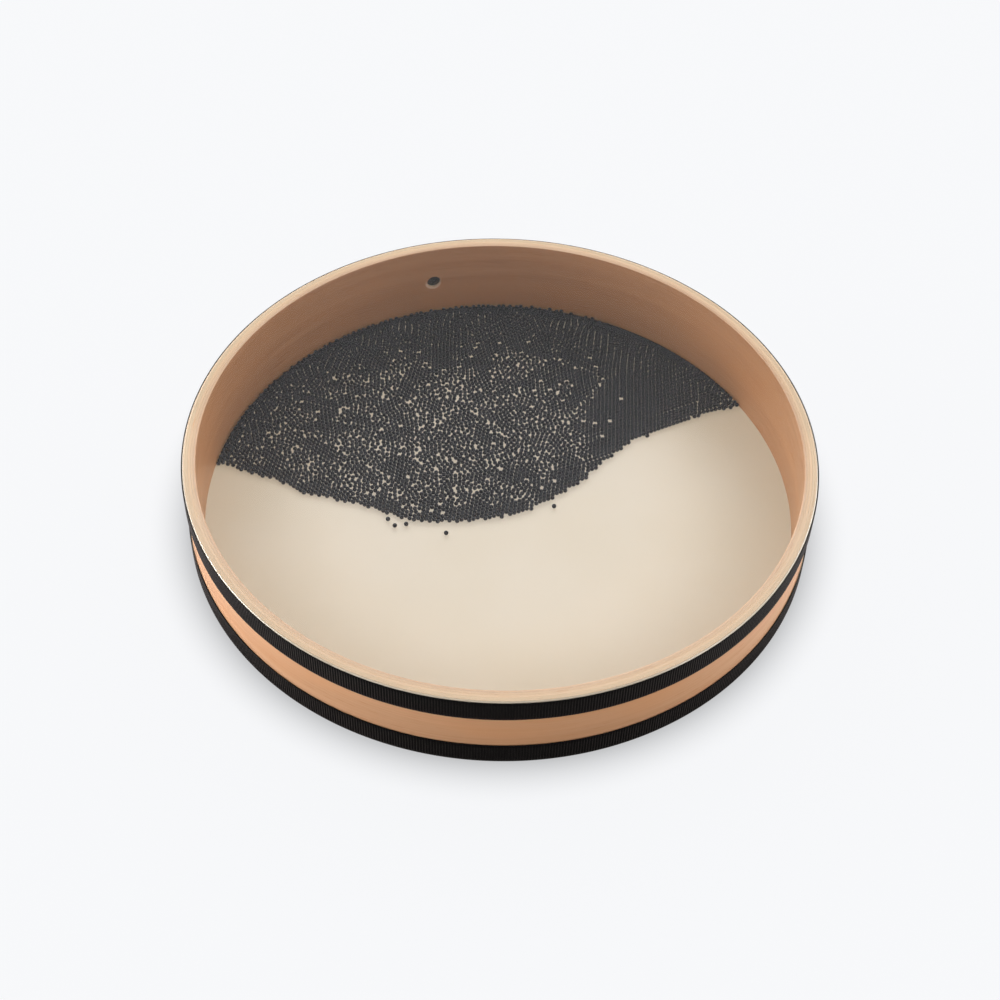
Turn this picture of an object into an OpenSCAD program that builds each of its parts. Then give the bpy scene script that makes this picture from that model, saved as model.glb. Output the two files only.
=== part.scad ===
// Ocean drum: a shallow bent plywood hoop with a clear film head on top and a cream film
// head below. Ribbons cover the films' glued edges, and steel beads roll between the heads.
// All sizes are in millimetres. The drum stands on the XY plane, centred on Z, and its
// front is at -Y.

/* [Drum] */
// Outside diameter, over the ribbons
drum_d = 406; // [300:1:560]
// Height over both heads
drum_h = 60; // [48:1:90]

/* [Plywood hoop] */
// Thickness of one veneer
ply_t = 1.55; // [1.3:0.05:2.2]
// Glue line between veneers, and under the films and ribbons
glue_t = 0.1; // [0.05:0.01:0.15]
// Rounding of the hoop's outer edges, where the films bend over
rim_round = 1.2; // [0.6:0.1:1.5]
// Easing of the hoop's inner edges
inner_ease = 0.4; // [0.2:0.1:0.8]
// Width of the joint line between a veneer's two ends
seam_gap = 0.15; // [0.1:0.05:0.3]

/* [Heads] */
// Thickness of the film
film_t = 0.25; // [0.2:0.05:0.5]
// How far a head's film comes round the hoop's outside
collar_h = 12; // [8:1:15]

/* [Ribbons] */
// Width of the ribbon
ribbon_w = 16; // [12:1:20]
// Thickness of the ribbon
ribbon_t = 0.7; // [0.4:0.1:1.2]
// Distance from the drum's edge to the ribbon
ribbon_inset = 0.9; // [0.5:0.1:2]
// Gap between the ribbon's two heat-cut ends
ribbon_seam = 0.4; // [0.2:0.1:1]

/* [Filling plug] */
// Diameter of the filling hole
hole_d = 10; // [7:0.5:14]
// Direction of the hole from the drum's centre, in degrees from +X
hole_azimuth = 105.6; // [95:0.1:150]
// Radial clearance of the plug in the hole
plug_gap = 0.05; // [0.03:0.01:0.1]
// How far the plug's inner end stays back from the hoop's inner face
plug_recess = 2; // [1:0.5:3]
// Diameter of the plug's flange
flange_d = 14.5; // [12:0.5:20]
// Thickness of the plug's flange
flange_t = 2; // [1.2:0.1:3]
// Depth of the grooves between the plug's sealing rings
ring_depth = 0.35; // [0.2:0.05:0.6]
// Width of one sealing ring
ring_w = 1.2; // [0.8:0.1:1.6]
// Diameter of the moulded hollow in the plug's inner end
hollow_d = 5; // [3:0.5:6]
// Depth of that hollow
hollow_depth = 2.5; // [1:0.5:4]

/* [Beads] */
// Diameter of one steel bead
bead_d = 3; // [2.6:0.1:3.8]
// Gap between neighbouring beads
bead_gap = 0.06; // [0.04:0.01:0.15]
// Gap that keeps rolling beads clear of the film, the wall and each other
roll_gap = 0.3; // [0.2:0.05:0.4]
// Depth of the band of single beads along the bed's front
fringe_w = 6.5; // [4:0.5:12]
// Highest part of the bed's places that a missing bead leaves open
open_place_share = 0.05; // [0.01:0.01:0.1]

/* [Hidden] */
$fn = 120;
bead_sides = 32;
cut_over = 1;
ply_count = 5;
seam_azimuths = [255, 15, 195, 135, 75];
ribbon_azimuths = [60, 84];

// Radii, from the outside in
ribbon_ro = drum_d / 2;
ribbon_ri = ribbon_ro - ribbon_t;
film_ro = ribbon_ri - glue_t;
film_ri = film_ro - film_t;
hoop_ro = film_ri - glue_t;
hoop_t = ply_count * ply_t + (ply_count - 1) * glue_t;
hoop_ri = hoop_ro - hoop_t;
hoop_h = drum_h - 2 * film_t;
edge_round = min(rim_round, ply_t - glue_t);
film_bend = edge_round + glue_t;

// The plug, measured outwards along its own axis
hole_z = drum_h / 2;
plug_r = hole_d / 2 - plug_gap;
plug_start = hoop_ri + plug_recess;
flange_start = hoop_ro + 2 * plug_gap;
flange_round = flange_t * 0.6;
ring_pitch = (flange_start - plug_start - ring_w) / 2;

// The layer of beads, one bead deep, in close-packed rows that run from front to back
bead_r = bead_d / 2;
bead_z = film_t + roll_gap + bead_r;
bead_pitch = bead_d + bead_gap;
row_pitch = bead_pitch * sqrt(3) / 2;
bed_ro = hoop_ri - roll_gap;
row_count = floor(bed_ro / row_pitch) - 1;
beads_per_row = floor(bed_ro / bead_pitch);
// Mean height of a layer of touching balls, were it melted down
layer_solid_share = PI / (3 * sqrt(3));
bed_h = bead_d * layer_solid_share;
// The bed is rounded like its rows on top, over a flat base that gives it its beads' weight
row_dip = sqrt(bead_r * bead_r - row_pitch * row_pitch / 4);
row_area = row_pitch / 2 * row_dip + bead_r * bead_r * asin(row_pitch / bead_d) * PI / 180;
bed_base = bed_h - row_area / row_pitch;
bed_seed = 7;

// The bed's front edge from left to right, as shares of the hoop's inner radius
front_edge_share = [
    [-1.00, 0.13], [-0.92, 0.13], [-0.87, 0.10], [-0.75, 0.07], [-0.70, 0.03],
    [-0.61, 0.00], [-0.53, -0.02], [-0.40, -0.06], [-0.28, -0.10], [-0.15, -0.10],
    [0.00, -0.07], [0.09, -0.04], [0.17, 0.02], [0.25, 0.08], [0.29, 0.12],
    [0.38, 0.23], [0.42, 0.27], [0.51, 0.34], [0.59, 0.38], [0.64, 0.41],
    [0.73, 0.47], [0.82, 0.49], [1.00, 0.62]
];
// Where the fringe is split into its left, middle and right parts
fringe_split_shares = [-0.42, 0.2];
// How open the bed is from left to right, as a share of its most open part
open_place_shares = [[-1.0, 0.1], [-0.8, 0.6], [-0.4, 1], [0.1, 1], [0.35, 0.35], [1.0, 0.05]];
// Beads that have run ahead of the bed, as shares of the hoop's inner radius
stray_shares = [[-0.175, -0.146], [-0.375, -0.092], [-0.350, -0.120], [-0.312, -0.112], [0.189, -0.010]];
strays = [for (s = stray_shares) s * hoop_ri];

// Rectangle from the origin with its bottom right corner rounded
module corner_plate(w, h, corner) {
    translate([0, corner]) square([w, h - corner]);
    square([w - corner, corner]);
    intersection() {
        square([w, h]);
        translate([w - corner, corner]) circle(r = corner);
    }
}

// Rectangle of the given height and thickness with both right corners rounded
module rounded_strip(t, h, corner) {
    corner_plate(t, h / 2, corner);
    translate([0, h]) mirror([0, 1]) corner_plate(t, h / 2, corner);
}

// Carries a shape drawn along +Z to the filling hole, pointing outwards
module at_hole() {
    rotate([0, 0, hole_azimuth]) translate([0, 0, hole_z]) rotate([0, 90, 0]) children();
}

module filling_hole() {
    at_hole() translate([0, 0, hoop_ri - cut_over]) cylinder(d = hole_d, h = hoop_t + 2 * cut_over);
}

// Ring about the Z axis with a narrow joint line at the given direction
module jointed_ring(ring_r, gap, azimuth) {
    gap_angle = gap / ring_r * 180 / PI;
    rotate([0, 0, azimuth + gap_angle / 2]) rotate_extrude(angle = 360 - gap_angle) children();
}

// One veneer of the hoop, counted from the inside
module veneer(layer) {
    ring_ri = hoop_ri + layer * (ply_t + glue_t);
    difference() {
        translate([0, 0, film_t]) jointed_ring(ring_ri, seam_gap, seam_azimuths[layer])
            translate([ring_ri, 0]) veneer_section(layer);
        filling_hole();
    }
}

module veneer_section(layer) {
    if (layer == 0) translate([ply_t, 0]) mirror([1, 0]) rounded_strip(ply_t, hoop_h, inner_ease);
    else if (layer == ply_count - 1) rounded_strip(ply_t, hoop_h, edge_round);
    else square([ply_t, hoop_h]);
}

module ply_inner_face() { color("#c98f66") veneer(0); }
module ply_core_inner() { color("#e3c39c") veneer(1); }
module ply_core_middle() { color("#d3ab80") veneer(2); }
module ply_core_outer() { color("#e3c39c") veneer(3); }
module ply_outer_face() { color("#e0a277") veneer(4); }

// Flat film with its edge bent round the hoop, lying on its outer face
module film_head() {
    rotate_extrude() difference() {
        corner_plate(film_ro, collar_h, film_bend + film_t);
        translate([0, film_t]) corner_plate(film_ri, collar_h, film_bend);
    }
}

module upper_head() { color([0.92, 0.94, 0.95, 0.25]) translate([0, 0, drum_h]) mirror([0, 0, 1]) film_head(); }
module lower_head() { color("#e0d8c8") film_head(); }

// Ribbon round the drum, with its lower edge at the given height
module ribbon(base_z, azimuth) {
    translate([0, 0, base_z]) jointed_ring(ribbon_ro, ribbon_seam, azimuth)
        translate([ribbon_ri, 0]) rounded_strip(ribbon_t, ribbon_w, ribbon_t / 3);
}

module upper_ribbon() { color("#1a1716") ribbon(drum_h - ribbon_inset - ribbon_w, ribbon_azimuths[0]); }
module lower_ribbon() { color("#1a1716") ribbon(ribbon_inset, ribbon_azimuths[1]); }

// Half section of the plug, with its axis on the Y axis of the drawing
module plug_section() {
    difference() {
        union() {
            translate([0, plug_start]) square([plug_r - ring_depth, flange_start - plug_start]);
            for (i = [0:2]) translate([0, plug_start + i * ring_pitch]) square([plug_r, ring_w]);
            translate([0, flange_start + flange_t]) mirror([0, 1]) corner_plate(flange_d / 2, flange_t, flange_round);
        }
        translate([0, plug_start - cut_over]) square([hollow_d / 2, hollow_depth + cut_over]);
    }
}

module fill_plug() { color("#2b2a29") at_hole() rotate_extrude() plug_section(); }

// Distance of a place behind the bed's front edge
function depth(p) = p.y - hoop_ri * lookup(p.x / hoop_ri, front_edge_share);

// True where a bead keeps clear of every stray bead and of its way to the front wall
function off_lanes(p, reach) =
    len([for (s = strays) if (abs(p.x - s.x) < reach && p.y < s.y + reach) s]) == 0;

// Places of a close-packed layer inside the hoop
places = [
    for (j = [-row_count:row_count], i = [-beads_per_row:beads_per_row])
        let (p = [j * row_pitch, (i + (j % 2) / 2) * bead_pitch])
        if (norm(p) < bed_ro - bead_r && depth(p) > 0) p
];
fringe = [for (p = places) if (depth(p) < fringe_w && off_lanes(p, bead_d + roll_gap)) p];
inner_places = [
    for (p = places)
        if (depth(p) > fringe_w + 2 * bead_pitch && norm(p) < bed_ro - 2 * bead_pitch) p
];
draws = rands(0, 1, len(inner_places), bed_seed);
open_places = [
    for (i = [0:len(inner_places) - 1])
        let (p = inner_places[i])
        if (draws[i] < open_place_share * lookup(p.x / hoop_ri, open_place_shares)) p
];

// Outline of the bed behind its fringe, from the left wall round the back to the right wall
module bed_outline() {
    front_line = [for (s = front_edge_share) s * hoop_ri + [0, fringe_w]];
    intersection() {
        circle(r = bed_ro);
        polygon(concat(front_line, [[hoop_ri, hoop_ri], [-hoop_ri, hoop_ri]]));
    }
}

// Section across the rows, with the beads' centres on its X axis
module row_section() {
    intersection() {
        for (j = [-row_count:row_count]) translate([j * row_pitch, 0]) circle(r = bead_r);
        translate([-bed_ro, -bed_base]) square([2 * bed_ro, bed_base + bead_d]);
    }
    translate([-bed_ro, -bed_base]) square([2 * bed_ro, bed_base]);
}

module bead_bed() {
    color("#4a4b4d") difference() {
        intersection() {
            translate([0, bed_ro, bead_z]) rotate([90, 0, 0]) linear_extrude(2 * bed_ro) row_section();
            linear_extrude(drum_h / 2) bed_outline();
        }
        for (p = fringe) translate([p.x, p.y, 0]) cylinder(r = bead_r + bead_gap, h = drum_h / 2, $fn = bead_sides);
        for (p = open_places) translate([p.x, p.y, 0]) cylinder(r = bead_r, h = drum_h / 2, $fn = 6);
    }
}

module bead(p) { translate([p.x, p.y, bead_z]) sphere(d = bead_d, $fn = bead_sides); }

// Single beads of the fringe between two shares of the hoop's inner radius, from left to right
module bead_fringe(from_share, to_share) {
    color("#55565a") for (p = fringe) if (p.x >= from_share * hoop_ri && p.x < to_share * hoop_ri) bead(p);
}

module stray_bead(i) { color("#5c5d60") bead(strays[i]); }

ply_inner_face();
ply_core_inner();
ply_core_middle();
ply_core_outer();
ply_outer_face();
upper_head();
lower_head();
upper_ribbon();
lower_ribbon();
fill_plug();
bead_bed();
bead_fringe(-1, fringe_split_shares[0]);  // bead_fringe_left
bead_fringe(fringe_split_shares[0], fringe_split_shares[1]);  // bead_fringe_middle
bead_fringe(fringe_split_shares[1], 1);  // bead_fringe_right
stray_bead(0);  // stray_bead_1
stray_bead(1);  // stray_bead_2
stray_bead(2);  // stray_bead_3
stray_bead(3);  // stray_bead_4
stray_bead(4);  // stray_bead_5
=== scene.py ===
import math

import bpy
import numpy as np
from mathutils import Matrix, Vector, kdtree, noise


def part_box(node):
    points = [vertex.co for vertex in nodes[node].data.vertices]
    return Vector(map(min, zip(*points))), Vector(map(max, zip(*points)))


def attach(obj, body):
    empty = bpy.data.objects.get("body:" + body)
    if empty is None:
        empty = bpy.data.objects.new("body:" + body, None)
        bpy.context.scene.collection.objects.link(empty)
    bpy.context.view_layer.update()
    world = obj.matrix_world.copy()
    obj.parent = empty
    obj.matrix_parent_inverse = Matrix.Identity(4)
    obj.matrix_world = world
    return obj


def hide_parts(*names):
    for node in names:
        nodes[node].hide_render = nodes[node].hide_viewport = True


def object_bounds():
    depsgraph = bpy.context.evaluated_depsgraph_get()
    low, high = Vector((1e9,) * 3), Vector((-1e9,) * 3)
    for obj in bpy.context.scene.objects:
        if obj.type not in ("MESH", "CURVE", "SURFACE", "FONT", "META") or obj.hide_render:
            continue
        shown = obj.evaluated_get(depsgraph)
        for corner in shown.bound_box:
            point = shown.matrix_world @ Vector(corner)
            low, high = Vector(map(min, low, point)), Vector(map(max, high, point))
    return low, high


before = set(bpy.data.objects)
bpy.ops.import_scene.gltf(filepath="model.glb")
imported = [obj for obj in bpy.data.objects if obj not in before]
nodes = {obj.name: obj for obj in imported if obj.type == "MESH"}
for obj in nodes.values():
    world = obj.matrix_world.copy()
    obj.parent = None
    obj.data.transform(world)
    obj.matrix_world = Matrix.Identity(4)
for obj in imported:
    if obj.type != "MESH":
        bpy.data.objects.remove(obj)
cadBox = [list(corner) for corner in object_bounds()]
print("frame loaded with", len(nodes), "CAD nodes")


def linearColour(red, green, blue):  # a screen colour, 0 to 255, in Blender's linear light
    shares = [part / 255 for part in (red, green, blue)]
    return tuple(s / 12.92 if s <= 0.04045 else ((s + 0.055) / 1.055) ** 2.4 for s in shares) + (1.0,)


def meshPoints(item):  # the vertices of an object as an array
    points = np.zeros(len(item.data.vertices) * 3)
    item.data.vertices.foreach_get("co", points)
    return points.reshape(-1, 3)


# Radii and heights that the pieces share, read from the CAD nodes
def outerRadius(name):
    return max(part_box(name)[1].x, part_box(name)[1].y)


drumHeight = cadBox[1][2]
hoopRadius = outerRadius("ply_outer_face")
wallPoints = meshPoints(nodes["ply_inner_face"])
wallRadius = float(np.hypot(wallPoints[:, 0], wallPoints[:, 1]).min())
strayBoxes = [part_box(f"stray_bead_{i + 1}") for i in range(5)]
strayPlaces = [(low + high) / 2 for low, high in strayBoxes]
beadRadius = (strayBoxes[0][1].z - strayBoxes[0][0].z) / 2
beadHeight = strayPlaces[0].z


# Short ways to build node trees
def setInput(tree, value, socket):
    if isinstance(value, bpy.types.NodeSocket):
        tree.links.new(value, socket)
    else:
        socket.default_value = value


def addNode(tree, kind, inputs=None, **settings):
    made = tree.nodes.new(kind)
    for key, value in settings.items():
        setattr(made, key, value)
    for key, value in (inputs or {}).items():
        setInput(tree, value, made.inputs[key])
    return made


def calc(tree, operation, *values):
    made = tree.nodes.new("ShaderNodeMath")
    made.operation = operation
    for i, value in enumerate(values):
        setInput(tree, value, made.inputs[i])
    return made.outputs[0]


def plus(tree, first, second):
    return calc(tree, "ADD", first, second)


def minus(tree, first, second):
    return calc(tree, "SUBTRACT", first, second)


def times(tree, product, *factors):
    for factor in factors:
        product = calc(tree, "MULTIPLY", product, factor)
    return product


def squareOf(tree, value):
    return times(tree, value, value)


def fade(tree, value, low, high, first=0.0, last=1.0):  # a smooth step from first at low to last at high
    made = addNode(tree, "ShaderNodeMapRange", {0: value, 1: low, 2: high, 3: first, 4: last})
    made.interpolation_type = "SMOOTHSTEP"
    return made.outputs[0]


def mixColour(tree, share, first, second, mode="MIX"):
    made = tree.nodes.new("ShaderNodeMix")
    made.data_type, made.blend_type = "RGBA", mode
    for i, value in ((0, share), (6, first), (7, second)):
        setInput(tree, value, made.inputs[i])
    return made.outputs[2]


def combine(tree, x, y, z):
    return addNode(tree, "ShaderNodeCombineXYZ", {0: x, 1: y, 2: z}).outputs[0]


def partsOf(tree, vector):  # the x, y and z of a vector
    return addNode(tree, "ShaderNodeSeparateXYZ", {0: vector}).outputs


def noiseAt(tree, vector, w, scale, detail=3.0, roughness=0.55):
    inputs = {"Vector": vector, "W": w, "Scale": scale, "Detail": detail, "Roughness": roughness}
    return addNode(tree, "ShaderNodeTexNoise", inputs, noise_dimensions="4D").outputs[0]


def startTree(name, kind, inputs, outputs):
    tree = bpy.data.node_groups.new(name, kind)
    for label, socketType, value in inputs:
        socket = tree.interface.new_socket(name=label, in_out="INPUT", socket_type=socketType)
        if value is not None:
            socket.default_value = value
    for label, socketType in outputs:
        tree.interface.new_socket(name=label, in_out="OUTPUT", socket_type=socketType)
    return tree, tree.nodes.new("NodeGroupInput").outputs, tree.nodes.new("NodeGroupOutput").inputs


def useGroup(tree, group, **values):  # group node with its inputs set, spaces in their names written as _
    made = tree.nodes.new("ShaderNodeGroup")
    made.node_tree = group
    for key, value in values.items():
        setInput(tree, value, made.inputs[key.replace("_", " ")])
    return made.outputs


def newMaterial(name, **constants):
    material = bpy.data.materials.new(name)
    material.use_nodes = True
    shader = material.node_tree.nodes["Principled BSDF"]
    for key, value in constants.items():
        shader.inputs[key.replace("_", " ")].default_value = value
    return material, material.node_tree, shader


def bumpInto(tree, shader, height, strength, distance):
    bump = addNode(tree, "ShaderNodeBump", {"Height": height, "Strength": strength, "Distance": distance})
    tree.links.new(bump.outputs["Normal"], shader.inputs["Normal"])


floatSocket, colourSocket = "NodeSocketFloat", "NodeSocketColor"


# Places round the drum: radius from its axis, height, and the object's own coordinates
def buildDrumCoordinates():
    tree, _, made = startTree(
        "drumCoordinates", "ShaderNodeTree", [],
        [("Radius", floatSocket), ("Height", floatSocket), ("X", floatSocket), ("Y", floatSocket)],
    )
    place = addNode(tree, "ShaderNodeTexCoord").outputs["Object"]
    x, y, z = partsOf(tree, place)
    radius = calc(tree, "SQRT", plus(tree, squareOf(tree, x), squareOf(tree, y)))
    for label, value in (("Radius", radius), ("Height", z), ("X", x), ("Y", y)):
        setInput(tree, value, made[label])
    return tree


# Grain layers: share of Along, share of Across, detail, shift
grainLayers = {
    "fibre": (1.0, 1.0, 4.0, 0.0),
    "band": (0.5, 0.16, 3.0, 7.3),
    "fleck": (5.0, 1.3, 2.0, 17.1),
    "blotch": (0.7, 0.03, 2.0, 31.7),
}
grainTones = {"poreRange": (0.60, 0.74), "poreDepth": 0.55, "blotchRange": (0.42, 0.72), "blotchDepth": 0.6}
softRange = (0.3, 0.7)  # where a noise goes from one tone to the other


# Grain that runs round the hoop: long along the bend, fine across the height and the thickness
def buildWoodGrain():
    tree, given, made = startTree(
        "woodGrain", "ShaderNodeTree",
        [
            ("Wood", colourSocket, (0.7, 0.5, 0.3, 1)), ("Grain", colourSocket, (0.5, 0.3, 0.2, 1)),
            ("Blotch", colourSocket, (0.8, 0.4, 0.2, 1)), ("Along", floatSocket, 12.0),
            ("Across", floatSocket, 900.0), ("Shift", floatSocket, 0.0), ("Contrast", floatSocket, 1.0),
        ],
        [("Colour", colourSocket), ("Fibre", floatSocket), ("Pores", floatSocket)],
    )
    place = useGroup(tree, drumCoordinates)
    depth = times(tree, place["Radius"], given["Across"])

    def layer(along, across, detail, offset):
        x, y = (times(tree, place[k], times(tree, given["Along"], along)) for k in "XY")
        z = times(tree, place["Height"], times(tree, given["Across"], across))
        w = plus(tree, times(tree, depth, across), plus(tree, given["Shift"], offset))
        return noiseAt(tree, combine(tree, x, y, z), w, 1.0, detail)

    fibre, band, fleck, blotch = (layer(*sizes) for sizes in grainLayers.values())
    pores = fade(tree, fleck, *grainTones["poreRange"])
    halves = (times(tree, fade(tree, part, *softRange), 0.5) for part in (fibre, band))
    tone = plus(tree, *halves)
    grainy = mixColour(tree, times(tree, tone, given["Contrast"]), given["Wood"], given["Grain"])
    poreShare = times(tree, pores, grainTones["poreDepth"], given["Contrast"])
    pored = mixColour(tree, poreShare, grainy, given["Grain"], "MULTIPLY")
    blotchShare = times(tree, fade(tree, blotch, *grainTones["blotchRange"]), grainTones["blotchDepth"])
    blotched = mixColour(tree, blotchShare, pored, given["Blotch"])
    for label, value in (("Colour", blotched), ("Fibre", fibre), ("Pores", pores)):
        setInput(tree, value, made[label])
    return tree


# Fine threads: ridges round the drum broken by a soft noise, for the ribbons
weaveSizes = {"fuzzScale": 1500.0, "fuzzDetail": 3.0, "ridgeShare": 0.6, "fuzzShare": 0.4}


def buildThreadWeave():
    tree, given, made = startTree(
        "threadWeave", "ShaderNodeTree", [("Thread Pitch", floatSocket, 0.0004)],
        [("Height", floatSocket), ("Fuzz", floatSocket)],
    )
    place = useGroup(tree, drumCoordinates)
    turns = calc(tree, "DIVIDE", place["Height"], given["Thread Pitch"])
    ridge = calc(tree, "ABSOLUTE", calc(tree, "SINE", times(tree, turns, math.pi)))
    vector = combine(tree, place["X"], place["Y"], place["Height"])
    fuzz = noiseAt(tree, vector, 0.0, weaveSizes["fuzzScale"], weaveSizes["fuzzDetail"])
    ridges = times(tree, ridge, weaveSizes["ridgeShare"])
    softness = times(tree, fuzz, weaveSizes["fuzzShare"])
    setInput(tree, plus(tree, ridges, softness), made["Height"])
    setInput(tree, fuzz, made["Fuzz"])
    return tree


# Dust and handling marks: a slow cloud and small specks, each with its place in the noise
markSizes = {
    "cloudPlace": 3.0,
    "cloudDetail": 4.0,
    "speckPlace": 9.0,
    "speckDetail": 1.0,
    "speckRange": (0.70, 0.78),
}


def buildHandlingMarks():
    tree, given, made = startTree(
        "handlingMarks", "ShaderNodeTree",
        [("Cloud Scale", floatSocket, 20.0), ("Speck Scale", floatSocket, 700.0)],
        [("Cloud", floatSocket), ("Specks", floatSocket)],
    )
    place = useGroup(tree, drumCoordinates)
    vector = combine(tree, place["X"], place["Y"], place["Height"])
    cloud = noiseAt(tree, vector, markSizes["cloudPlace"], given["Cloud Scale"], markSizes["cloudDetail"])
    specks = noiseAt(tree, vector, markSizes["speckPlace"], given["Speck Scale"], markSizes["speckDetail"])
    setInput(tree, cloud, made["Cloud"])
    setInput(tree, fade(tree, specks, *markSizes["speckRange"]), made["Specks"])
    return tree


drumCoordinates = buildDrumCoordinates()
woodGrain = buildWoodGrain()
threadWeave = buildThreadWeave()
handlingMarks = buildHandlingMarks()
print("shader groups ready")

# The plies: faces are warm and oily from sanding, cut edges paler
hoopLook = {
    "along": 11.0,
    "across": 900.0,
    "edgeBand": 0.0006,
    "faceContrast": 0.8,
    "edgeContrast": 1.0,
    "faceRoughness": 0.42,
    "edgeRoughness": 0.6,
    "poreRoughness": 0.2,
    "poreRelief": 0.8,
    "bumpStrength": 0.25,
    "bumpDepth": 0.00012,
    "litHoleCrescent": (0.0055, 0.0061),
    "litHoleCrescentDrop": 0.0005,
    "litHoleCrescentSide": (-0.002, 0.003),
    "litHoleCrescentColour": linearColour(236, 206, 172),
}
plyLooks = {
    "ply_inner_face": dict(
        face=linearColour(208, 157, 114),
        grain=linearColour(184, 131, 88),
        blotch=linearColour(210, 151, 101),
        edge=linearColour(236, 196, 160),
        edgeGrain=linearColour(222, 178, 140),
        shift=3.0,
    ),
    "ply_core_inner": dict(
        face=linearColour(240, 214, 182),
        grain=linearColour(226, 192, 154),
        blotch=linearColour(238, 208, 174),
        edge=linearColour(240, 204, 166),
        edgeGrain=linearColour(228, 188, 146),
        shift=21.0,
    ),
    "ply_core_middle": dict(
        face=linearColour(228, 192, 156),
        grain=linearColour(214, 172, 134),
        blotch=linearColour(226, 186, 150),
        edge=linearColour(248, 216, 178),
        edgeGrain=linearColour(240, 200, 158),
        shift=42.0,
    ),
    "ply_core_outer": dict(
        face=linearColour(240, 214, 182),
        grain=linearColour(226, 192, 154),
        blotch=linearColour(238, 208, 174),
        edge=linearColour(240, 212, 176),
        edgeGrain=linearColour(226, 192, 152),
        shift=64.0,
    ),
    "ply_outer_face": dict(
        face=linearColour(243, 191, 149),
        grain=linearColour(226, 165, 120),
        blotch=linearColour(246, 177, 124),
        edge=linearColour(248, 222, 188),
        edgeGrain=linearColour(238, 206, 168),
        shift=88.0,
    ),
}


def litHoleCrescent(tree, place):  # painted highlight: a pale crescent round the lower side of the filling hole, for the lit lower wall of its bore
    low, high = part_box("fill_plug")
    middle = (low + high) / 2
    towards = Vector((middle.x, middle.y)).normalized()
    aside = minus(tree, times(tree, place["Y"], towards.x), times(tree, place["X"], towards.y))
    above = minus(tree, place["Height"], middle.z - hoopLook["litHoleCrescentDrop"])
    distance = calc(tree, "SQRT", plus(tree, squareOf(tree, aside), squareOf(tree, above)))
    ring = fade(tree, distance, *hoopLook["litHoleCrescent"], 1.0, 0.0)
    lowerSide = fade(tree, above, *hoopLook["litHoleCrescentSide"], 1.0, 0.0)
    sameWall = calc(tree, "GREATER_THAN", place["Y"], 0.0)
    return times(tree, ring, lowerSide, sameWall)


def plyMaterial(name):
    look = plyLooks[name]
    material, tree, shader = newMaterial("wood_" + name, Specular_IOR_Level=0.4)
    place = useGroup(tree, drumCoordinates)

    def wood(base, grain, blotch, contrast):
        return useGroup(
            tree, woodGrain, Wood=look[base], Grain=look[grain], Blotch=look[blotch], Contrast=contrast,
            Along=hoopLook["along"], Across=hoopLook["across"], Shift=look["shift"])

    face = wood("face", "grain", "blotch", hoopLook["faceContrast"])
    edge = wood("edge", "edgeGrain", "edge", hoopLook["edgeContrast"])
    low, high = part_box(name)[0].z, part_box(name)[1].z
    band = hoopLook["edgeBand"]
    nearTop = fade(tree, place["Height"], high - band, high - band / 3)
    nearFoot = fade(tree, place["Height"], low + band / 3, low + band, 1.0, 0.0)
    cut = calc(tree, "MAXIMUM", nearTop, nearFoot)
    colour = mixColour(tree, cut, face["Colour"], edge["Colour"])
    if name == "ply_inner_face":
        # Painted highlight of the filling hole's lit bore, on the inner face
        colour = mixColour(tree, litHoleCrescent(tree, place), colour, hoopLook["litHoleCrescentColour"])
    setInput(tree, colour, shader.inputs["Base Color"])
    smooth = fade(tree, cut, 0.0, 1.0, hoopLook["faceRoughness"], hoopLook["edgeRoughness"])
    rough = plus(tree, smooth, times(tree, face["Pores"], hoopLook["poreRoughness"]))
    setInput(tree, rough, shader.inputs["Roughness"])
    relief = minus(tree, face["Fibre"], times(tree, face["Pores"], hoopLook["poreRelief"]))
    bumpInto(tree, shader, relief, hoopLook["bumpStrength"], hoopLook["bumpDepth"])
    return material


# Clear film: a thin haze and a grey veil of painted reflection that grows at a glance (which also
# strengthens its gloss); milk where it bends over the rim, and a painted glint on the bend and the rim at
# the front
clearFilmLook = {
    "hazeAndReflection": 0.035,
    "cloudHaze": 0.006,
    "cloudRange": (0.35, 0.75),
    "paintedGlanceLight": 0.6,
    "glancePower": 5.0,
    "upperSkin": (-0.00014, -0.00006),
    "rimEase": 0.001,
    "bendSlope": (0.98, 0.7),
    "bendHaze": 0.25,
    "paintedFrontGlint": 0.45,
    "paintedGlintToRight": (-0.1, 0.15, 0.6, 1.0),
    "paintedRimGlint": 0.14,
    "frontReach": (-0.06, 0.08),
    "tintedFrom": 0.06,
    "paintedReflectionGrey": linearColour(120, 120, 122),
    "milkAndGlintTint": linearColour(246, 232, 208),
    "bumpStrength": 0.1,
    "bumpDepth": 0.002,
}


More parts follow.
